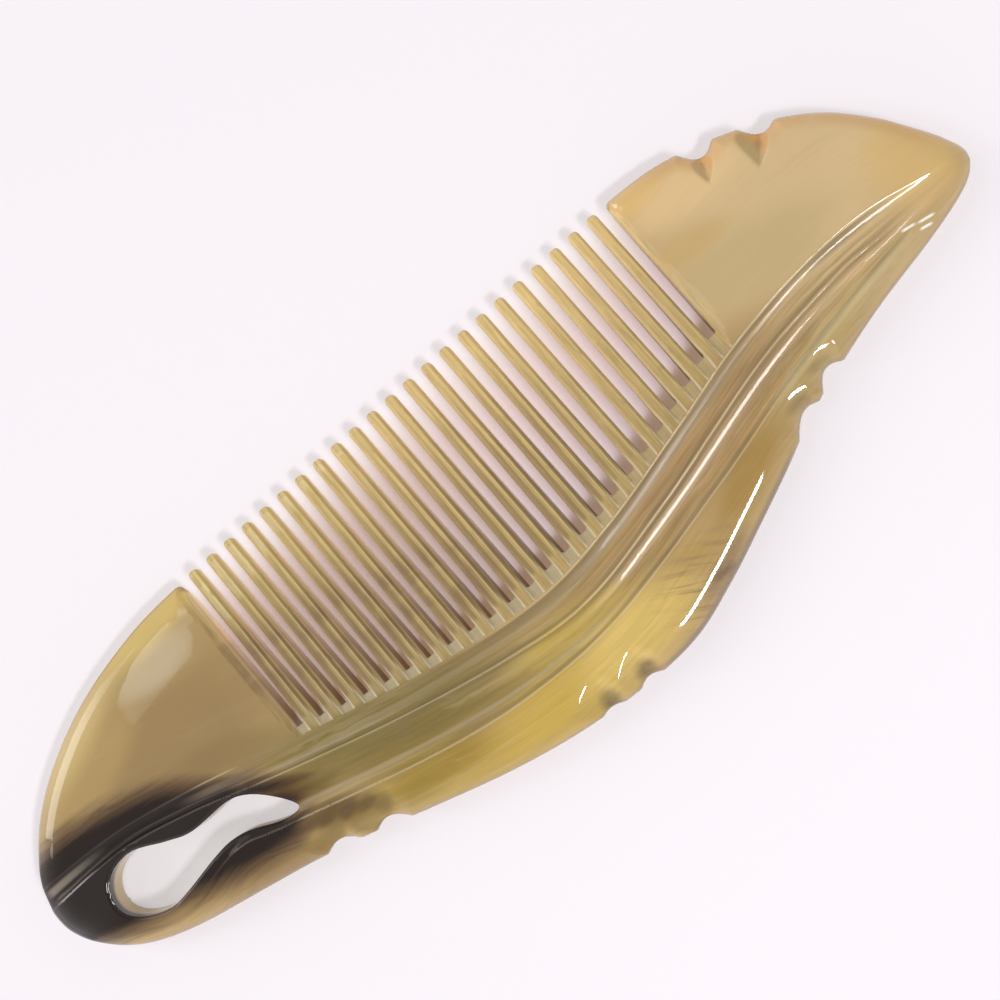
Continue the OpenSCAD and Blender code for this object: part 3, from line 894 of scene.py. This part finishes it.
# Painted light on the lit flank of each front notch, painted shade on the other and in the valley.
front_notch = scoop.between(0.01, 0.25) * plan_y.between(0, 5)
right_flank = plan_x.between(52.6, 54.0) * plan_x.between(58.0, 57.0) + plan_x.between(59.6, 61.2)
colour = colour.blended(lit_flank, front_notch * right_flank * 0.85)
colour = colour.blended(dim_flank, front_notch * (1 - right_flank) * 0.65)
colour = colour.blended(valley_shade, scoop.between(0.6, 1.2) * front_notch * 0.6)
at_left_notches = plan_y.between(0, -5) * plan_x.between(-28, -34)
left_notch = scoop.between(0.02, 0.6) * at_left_notches
colour = colour.blended(olive_brown, left_notch * (0.45 + clouds.between(0.4, 0.65) * 0.35))
# Painted shade along the back rim and along the very edge of the rim.
rim_shade = rim_gap.between(1.1, 0.2) * plan_y.between(-4, -8) * plan_x.between(1, 7) * plan_x.between(40, 34)
rim_shade = rim_shade.most(rim_gap.between(0.6, 0.1) * 0.55)
colour = colour.blended(rim_shade_brown, rim_shade * 0.75)
# Painted shade in the notch hollows, and the one smudge, broken up a little by noise.
shade_and_smudge = shade_and_smudge * (0.7 + (noise(place(plan_x / 2.2, plan_y / 0.9), 2, 0.6) - 0.5) * 0.8)
colour = colour.blended(shade_and_smudge_brown, shade_and_smudge)

# The slanting streaks. Brown fibres run slantwise through the back, right of its middle.
fibre_brown = (0.25, 0.165, 0.085)
slant_x = plan_x * 0.87 - plan_y * 0.5
slant_y = plan_x * 0.5 + plan_y * 0.87
slanting = noise(place(slant_x / 9, slant_y / 0.8), 2, 0.55, 0.3)
slanting_part = below_spine * plan_x.between(7, 14) * plan_x.between(27, 19) * plan_y.between(-17, -21)
colour = colour.blended(fibre_brown, slanting.between(0.45, 0.7) * slanting_part * 0.6)

# The smoky end. The black feathers out brown along the grain. Over it lies a painted sheen in
# the flute, at the blunt end and on the middle crest.
smoke_brown, smoke_black = (0.105, 0.055, 0.022), (0.009, 0.004, 0.003)
painted_flute_sheen, painted_end_sheen, painted_crest_sheen = (0.19, 0.14, 0.095), (0.24, 0.20, 0.165), (0.35, 0.32, 0.29)
feathers = (streaks - 0.5) * 1.6 + (hairs - 0.5) * 0.5 + (bands - 0.5) * 1.8
in_smoke = smoke + feathers
colour = colour.blended(smoke_brown, in_smoke.between(-2.5, 0.3) * 0.95)
colour = colour.blended(smoke_black, in_smoke.between(-0.4, 2.0))
# Painted highlights: the sheen in the flute, at the blunt end and on the middle crest.
flute_part = line_at(across, 1.55, 0.28) * plan_x.between(-61, -54) * plan_x.between(-46, -51)
colour = colour.blended(painted_flute_sheen, flute_part * 0.85)
end_part = line_at(across, 1.62, 0.26) * plan_x.between(-71, -81) * plan_x.between(-84, -82)
colour = colour.blended(painted_end_sheen, end_part)
crest_part = crest_gap.between(0.17, 0.06) * line_at(across, 1.0, 0.2) * plan_x.between(-74, -78)
colour = colour.blended(painted_crest_sheen, crest_part * plan_x.between(-83, -81.5))

# The crest highlights and the glints. A painted highlight runs along the crests, weaker in the
# smoke, and three painted glints lie near the pointed end.
crest_highlight, glint_white = (0.66, 0.57, 0.33), (0.95, 0.92, 0.82)
# A painted highlight along the crests, weaker in the smoke.
crest_highlight_line = crest_gap.between(0.19, 0.05) * plan_x.between(66, 34)
hidden_line = across.between(1.6, 1.8) * plan_x.between(6, -20) * plan_x.between(-52, -49)
crest_highlight_line = crest_highlight_line * (1 - hidden_line)
crest_light = crest_highlight_line * (0.42 - in_smoke.between(-0.5, 1.5) * 0.32)
crest_light = crest_light * (1 + across.between(0.4, 0.6) * plan_x.between(-6, 8) * 0.6)
low_crest_light = line_at(across, 0.0, 0.22) * plan_x.between(36, 44) * plan_x.between(70, 62)
crest_light = crest_light.most(low_crest_light * 0.35)
colour = colour.blended(crest_highlight, crest_light * plan_x.between(-66, -54))
# Three painted glints near the pointed end.
for glint_x, glint_y, glint_length in ((67.9, -5.1, 1.3), (70.4, -5.7, 1.6), (69.8, -6.5, 1.2)):
    along_glint = (plan_x - glint_x) * 0.98 - (plan_y - glint_y) * 0.17
    beside_glint = (plan_x - glint_x) * 0.17 + (plan_y - glint_y) * 0.98
    glint = abs(along_glint).between(glint_length, glint_length * 0.4) * abs(beside_glint).between(0.24, 0.1)
    colour = colour.blended(glint_white, glint)

# The walls of the gaps and the hole. They are darker, most towards the roots, and painted
# lighter near the top at the left and low in the hole as painted light through the horn. A
# painted glow stands in for the warm light that comes through, most near the top of the walls
# at the left and near the tips of the teeth.
wall_brown, wall_tan, hole_tan = (0.24, 0.15, 0.075), (0.50, 0.39, 0.21), (0.68, 0.52, 0.29)
dim_glow, pink_glow, tan_glow = (0.09, 0.055, 0.028), (0.34, 0.25, 0.19), (0.20, 0.145, 0.07)
normal = horn_tree.node("ShaderNodeNewGeometry", {}, {}, out=3)
normal_z = abs(horn_tree.node("ShaderNodeSeparateXYZ", {}, {0: normal}, out=2))
wall_part = normal_z.between(0.45, 0.15) * rim_gap.between(0.5, 1.0)
slot_wall = wall_part * plan_x.between(-44, -42)
colour = colour.blended(wall_brown, slot_wall * (0.75 - plan_y.between(-2, 14) * 0.7))
# Painted light near the top of the walls at the left and low on the walls of the hole.
upper_wall = (plan_z + plan_y * 0.04).between(3.4, 4.6) * slot_wall * plan_x.between(4, -14)
colour = colour.blended(wall_tan, upper_wall * 0.85)
colour = colour.blended(hole_tan, (wall_part - slot_wall) * plan_z.between(4.6, 3.2) * 0.85)
# A painted glow in the walls, given through the emission colour.
no_glow = horn_tree.node("ShaderNodeRGB", {}, {})
no_glow.socket.default_value = (0, 0, 0, 1)
dim_part = slot_wall * plan_x.between(26, -24) * (0.45 + above_root.between(0, 14) * 0.55)
pink_part = (plan_z + plan_y * 0.03).between(4.3, 2.6) * above_root.between(1, 20) * slot_wall
painted_glow = no_glow.blended(dim_glow, dim_part)
painted_glow = painted_glow.blended(pink_glow, pink_part * plan_x.between(40, 4))
painted_glow = painted_glow.blended(tan_glow, upper_wall * (0.85 - smudge * 0.5))

# The polish. The rim, the panels and the back have a clear gloss, the flutes a softer sheen,
# and the sawn row less of both. The left panel's gloss has faint ripples, and it fades away
# from the panel's middle.
rough = 0.6 - flute.between(0.05, 0.35) * (0.33 - streaks * 0.1) * (1 - plan_x.between(18, 48) * 0.45)
rough = rough + (clouds - 0.5) * 0.08 + smoke.between(0, 1.5) * 0.18
coat = 1 - flute.between(0.06, 0.32) * 0.72
coat = coat * (1 - groove.between(0.02, 0.12) * 0.5) * (1 - on_row * 0.35)
coat = coat * (1 - scoop.between(0.003, 0.04) * at_left_notches)
near_top_crest = across.between(1.25, 1.6) * across.between(2.08, 2.0) * plan_x.between(0, 14)
coat = coat * (1 - near_top_crest * plan_x.between(50, 43) * 0.85)
off_spine = 1 - across.between(0.0, 0.4) * across.between(2.06, 1.98)
coat = coat * (1 - smoke.between(-0.5, 1.5) * off_spine * 0.55)
coat = coat * (1 - plan_x.between(-66, -54) * rim_gap.between(3.6, 2.6) * on_left_panel * 0.75)
panel_x, panel_y = (plan_x + 50) / 8.5, (plan_y - 18.2) / 3.6
off_middle = panel_x * panel_x + panel_y * panel_y
coat = coat * (1 - off_middle.between(0.1, 1.1) * rim_gap.between(3.0, 4.0) * on_left_panel * 0.7)
coat = coat * (1 - line_at(across, 0.57, 0.4) * plan_x.between(50, 58) * 0.6)
ripples = noise(place(plan_x / 3.5, plan_y / 0.9), 1, 0.5) * on_left_panel
height = (hairs - 0.5) * flute.between(0.04, 0.3) * 0.5 + (saw_marks - 0.5) * on_teeth * 0.6
height = height + (streaks - 0.5) * flute * 0.6 + ripples * 0.5
bump = horn_tree.node("ShaderNodeBump", {}, {"Strength": 0.5, "Distance": 0.00003, "Height": height})

for name, reading in {"Base Color": colour, "Roughness": rough, "Coat Weight": coat,
                      "Normal": bump, "Emission Color": painted_glow}.items():
    horn.node_tree.links.new(reading.socket, skin.inputs[name])
skin.inputs["IOR"].default_value = 1.54
skin.inputs["Specular IOR Level"].default_value = 0.33
skin.inputs["Coat Roughness"].default_value = 0.03
skin.inputs["Coat IOR"].default_value = 1.5
skin.inputs["Emission Strength"].default_value = 1.0
skin.inputs["Specular Tint"].default_value = (1, 0.87, 0.77, 1)
mesh.materials.append(horn)
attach(comb, "root")
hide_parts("comb")


# The table and the light. A plain pale table under one small bright lamp to the lower right,
# wide dim ones at the left, and a pale room that is brighter towards its walls. Under the
# row of teeth the table's glow is tinted pink, browner at the left, as painted shade warmed
# by the light that comes through the horn, and darker still near the roots as a painted shadow.
table_mesh = bpy.data.meshes.new("table")
table_reach = 3.0
clearance = 0.00002
table_corners = [(table_reach * i, table_reach * j, 0) for i, j in ((-1, -1), (1, -1), (1, 1), (-1, 1))]
table_mesh.from_pydata(table_corners, [], [(0, 1, 2, 3)])
table = bpy.data.objects.new("table", table_mesh)
table.location.z = -clearance
paper = bpy.data.materials.new("table_paper")
paper.use_nodes = True
sheet = paper.node_tree.nodes["Principled BSDF"]
paper_tree = Reading(paper.node_tree, None)
at_table = paper_tree.node("ShaderNodeTexCoord", {}, {}, out=3)
table_x, table_y = (paper_tree.node("ShaderNodeSeparateXYZ", {}, {0: at_table}, out=n) * mm
                    for n in range(2))
root_table_y = (table_x - 0.5) * (table_x - 0.5) * 0.0058 - 6.2
under_row = abs(table_x - 2.0).between(41.5, 40.0) * (table_y - root_table_y).between(-1.5, 0.5)
under_row = under_row * table_y.between(27.5, 13.0)
near_roots = (table_y - root_table_y).between(5.0, 1.5)
pink, brown, root_shadow = (0.98, 0.78, 0.77), (0.52, 0.36, 0.27), (0.50, 0.30, 0.16)
white = paper_tree.node("ShaderNodeRGB", {}, {})
white.socket.default_value = (1.0, 1.0, 1.0, 1)
# Painted shade and warm light under the row of teeth, and a painted shadow near the roots.
painted_shade_and_glow = white.blended(pink, under_row)
painted_shade_and_glow = painted_shade_and_glow.blended(brown, under_row * table_x.between(14, -14) * 0.9)
painted_shade_and_glow = painted_shade_and_glow.blended(root_shadow, under_row * near_roots * 0.8)
paper.node_tree.links.new(painted_shade_and_glow.socket, sheet.inputs["Emission Color"])
sheet.inputs["Base Color"].default_value = (0.516, 0.465, 0.513, 1)
sheet.inputs["Emission Strength"].default_value = 0.45
sheet.inputs["Roughness"].default_value = 0.9
table_mesh.materials.append(paper)
bpy.context.scene.collection.objects.link(table)


def lamp(name, placed, size, radiance):
    """An area lamp where it is placed, with its size in metres and its radiance."""
    light = bpy.data.lights.new(name, "AREA")
    light.shape = "RECTANGLE"
    light.size, light.size_y = size
    light.energy = radiance * math.pi * size[0] * size[1]
    lamp_object = bpy.data.objects.new(name, light)
    lamp_object.location, lamp_object.rotation_euler = placed
    bpy.context.scene.collection.objects.link(lamp_object)


def aimed(azimuth, zenith, away):
    """Place and turn of a lamp that shines at the comb, from its two angles and its distance."""
    turn, lean = math.radians(azimuth), math.radians(zenith)
    towards = Vector((math.cos(turn) * math.sin(lean), math.sin(turn) * math.sin(lean), math.cos(lean)))
    return towards * away, towards.to_track_quat("Z", "Y").to_euler()


lamp("key", aimed(-71, 30, 0.55), (0.135, 0.07), 46)
lamp("left_window", ((-0.225, 0.335, 0.68), (0, 0, math.radians(10))), (0.22, 0.23), 3.2)
lamp("left_strip", aimed(137, 61, 0.7), (0.30, 0.26), 4.2)
room = bpy.data.worlds.new("room")
room.use_nodes = True
overhead, wall_light = 0.06, 1.25
room_tree = Reading(room.node_tree, None)
way = room_tree.node("ShaderNodeTexCoord", {}, {}, out=0)
way_x, way_y, up = (room_tree.node("ShaderNodeSeparateXYZ", {}, {0: way}, out=n) for n in range(3))
glow = wall_light - abs(up).least(1.0) * (wall_light - overhead)
glow = glow - way_x * 0.3 + way_y * 0.08
backdrop = room.node_tree.nodes["Background"]
backdrop.inputs["Color"].default_value = (1, 0.985, 0.99, 1)
room.node_tree.links.new(glow.socket, backdrop.inputs["Strength"])
bpy.context.scene.world = room
bpy.context.scene.view_settings.view_transform = "Standard"
